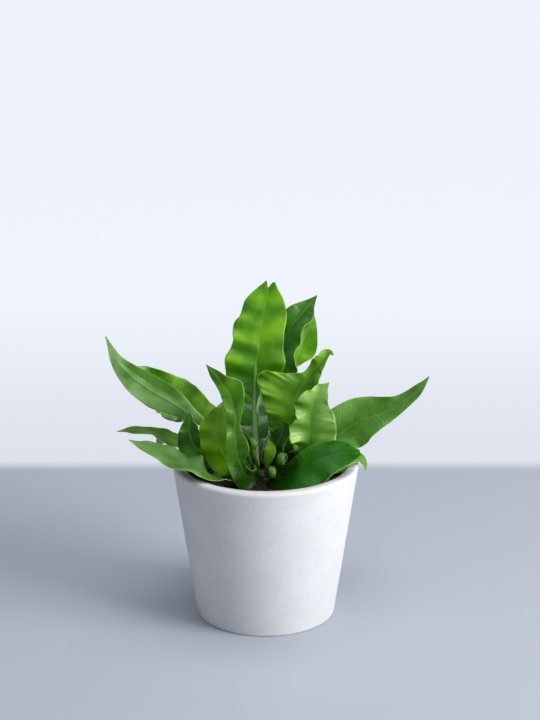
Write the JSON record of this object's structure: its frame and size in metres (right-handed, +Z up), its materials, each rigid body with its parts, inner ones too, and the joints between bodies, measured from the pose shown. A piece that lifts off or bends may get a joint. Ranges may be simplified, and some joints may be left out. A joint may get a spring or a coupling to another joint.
{
  "type": "potted bird's nest fern",
  "caption": "A young bird's nest fern with wavy, pleated fronds rising from a crown, in a plain tapered off-white pot filled with soil.",
  "frame": {"origin": "centre of the pot's flat underside", "axes": "+Z up along the pot's axis, +X to the viewer's right, -Y towards the viewer"},
  "size_m": [0.256, 0.197, 0.2686],
  "materials": {
    "pot_composite": "matte, finely mottled",
    "soil": "rough, granular",
    "rootstock": "rough, scaly",
    "leaf": "satin, finely veined",
    "leaf_bright": "satin, finely veined",
    "leaf_deep": "glossy, finely veined"
  },
  "bodies": {
    "root": {"pot": "pot_composite", "potting_soil": "soil", "rhizome_crown": "rootstock", "frond_tall_centre": "leaf", "frond_back_right": "leaf_deep", "frond_far_right": "leaf", "frond_ruffled_right": "leaf_bright", "frond_bright_right": "leaf_bright", "frond_long_right": "leaf", "frond_front_right": "leaf_deep", "frond_rim_right": "leaf", "frond_front_left": "leaf_bright", "frond_ruffled_front": "leaf", "frond_rim_left": "leaf", "frond_narrow_left": "leaf_deep", "frond_inner_left": "leaf_deep", "frond_long_left": "leaf_bright", "frond_broad_left": "leaf", "frond_young_dark": "leaf_deep", "frond_young_wavy": "leaf_bright", "frond_back_centre": "leaf", "frond_behind_right": "leaf", "frond_behind_left": "leaf", "frond_arching_back": "leaf", "frond_arching_right": "leaf", "frond_arching_left": "leaf", "frond_low_right": "leaf", "coiled_frond_centre": "leaf_deep", "coiled_frond_right": "leaf_deep", "coiled_frond_front": "leaf_deep"}
  },
  "joints": []
}
